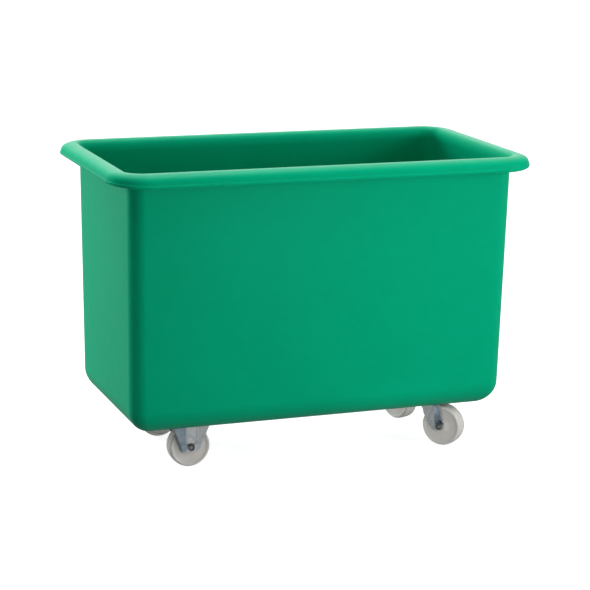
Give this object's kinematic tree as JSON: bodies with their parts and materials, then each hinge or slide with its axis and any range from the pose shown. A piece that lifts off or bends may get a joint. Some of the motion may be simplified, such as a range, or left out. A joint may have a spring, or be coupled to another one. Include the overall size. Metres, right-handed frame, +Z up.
{
  "type": "wheeled container truck",
  "caption": "Deep open rectangular moulded tub with a rolled rim, standing on two fixed and two swivel castors, for moving stock and linen.",
  "frame": {"origin": "on the floor, under the middle of the truck's overall box", "axes": "+X along the length towards the swivel castors, +Y across to the truck's left side, +Z up"},
  "size_m": [1.05, 0.576, 0.73],
  "materials": {
    "tub_plastic": "satin moulded polyethylene",
    "wheel_nylon": "satin off-white nylon",
    "zinc_sheet": "bright zinc plated pressed sheet",
    "fastener_zinc": "zinc plated",
    "ball_steel": "polished",
    "dark_sheet": "dull greased sheet"
  },
  "bodies": {
    "truck": {"tub": "tub_plastic", "castor_bolts": "fastener_zinc", "floor_washers": "zinc_sheet", "castor_nuts": "fastener_zinc", "fixed_plate_right": "zinc_sheet", "fixed_fork_right": "zinc_sheet", "fixed_axle_tube_right": "fastener_zinc", "fixed_axle_bolt_right": "fastener_zinc", "fixed_axle_nut_right": "fastener_zinc", "top_plate_right": "zinc_sheet", "kingpin_right": "fastener_zinc", "upper_balls_right": "ball_steel", "lower_balls_right": "ball_steel", "bearing_cup_right": "dark_sheet", "fixed_plate_left": "zinc_sheet", "fixed_fork_left": "zinc_sheet", "fixed_axle_tube_left": "fastener_zinc", "fixed_axle_bolt_left": "fastener_zinc", "fixed_axle_nut_left": "fastener_zinc", "top_plate_left": "zinc_sheet", "kingpin_left": "fastener_zinc", "upper_balls_left": "ball_steel", "lower_balls_left": "ball_steel", "bearing_cup_left": "dark_sheet"},
    "fixed_wheel_right": {"fixed_wheel_right": "wheel_nylon"},
    "swivel_castor_right": {"swivel_fork_right": "zinc_sheet", "swivel_axle_tube_right": "fastener_zinc", "swivel_axle_bolt_right": "fastener_zinc", "swivel_axle_nut_right": "fastener_zinc"},
    "swivel_wheel_right": {"swivel_wheel_right": "wheel_nylon"},
    "fixed_wheel_left": {"fixed_wheel_left": "wheel_nylon"},
    "swivel_castor_left": {"swivel_fork_left": "zinc_sheet", "swivel_axle_tube_left": "fastener_zinc", "swivel_axle_bolt_left": "fastener_zinc", "swivel_axle_nut_left": "fastener_zinc"},
    "swivel_wheel_left": {"swivel_wheel_left": "wheel_nylon"}
  },
  "joints": [
    {"name": "fixed_wheel_right_spin", "type": "hinge", "parent": "truck", "child": "fixed_wheel_right", "pos_m": [-0.303, -0.126, 0.05], "axis": [0, 1, 0], "continuous": true},
    {"name": "swivel_right", "type": "hinge", "parent": "truck", "child": "swivel_castor_right", "pos_m": [0.323, -0.126, 0.1], "axis": [0, 0, 1], "continuous": true},
    {"name": "swivel_wheel_right_spin", "type": "hinge", "parent": "swivel_castor_right", "child": "swivel_wheel_right", "pos_m": [0.35006, -0.1568, 0.05], "axis": [0.7513, 0.66, 0], "continuous": true},
    {"name": "fixed_wheel_left_spin", "type": "hinge", "parent": "truck", "child": "fixed_wheel_left", "pos_m": [-0.303, 0.126, 0.05], "axis": [0, 1, 0], "continuous": true},
    {"name": "swivel_left", "type": "hinge", "parent": "truck", "child": "swivel_castor_left", "pos_m": [0.323, 0.126, 0.1], "axis": [0, 0, 1], "continuous": true},
    {"name": "swivel_wheel_left_spin", "type": "hinge", "parent": "swivel_castor_left", "child": "swivel_wheel_left", "pos_m": [0.33655, 0.0873, 0.05], "axis": [0.9438, 0.3305, 0], "continuous": true}
  ]
}
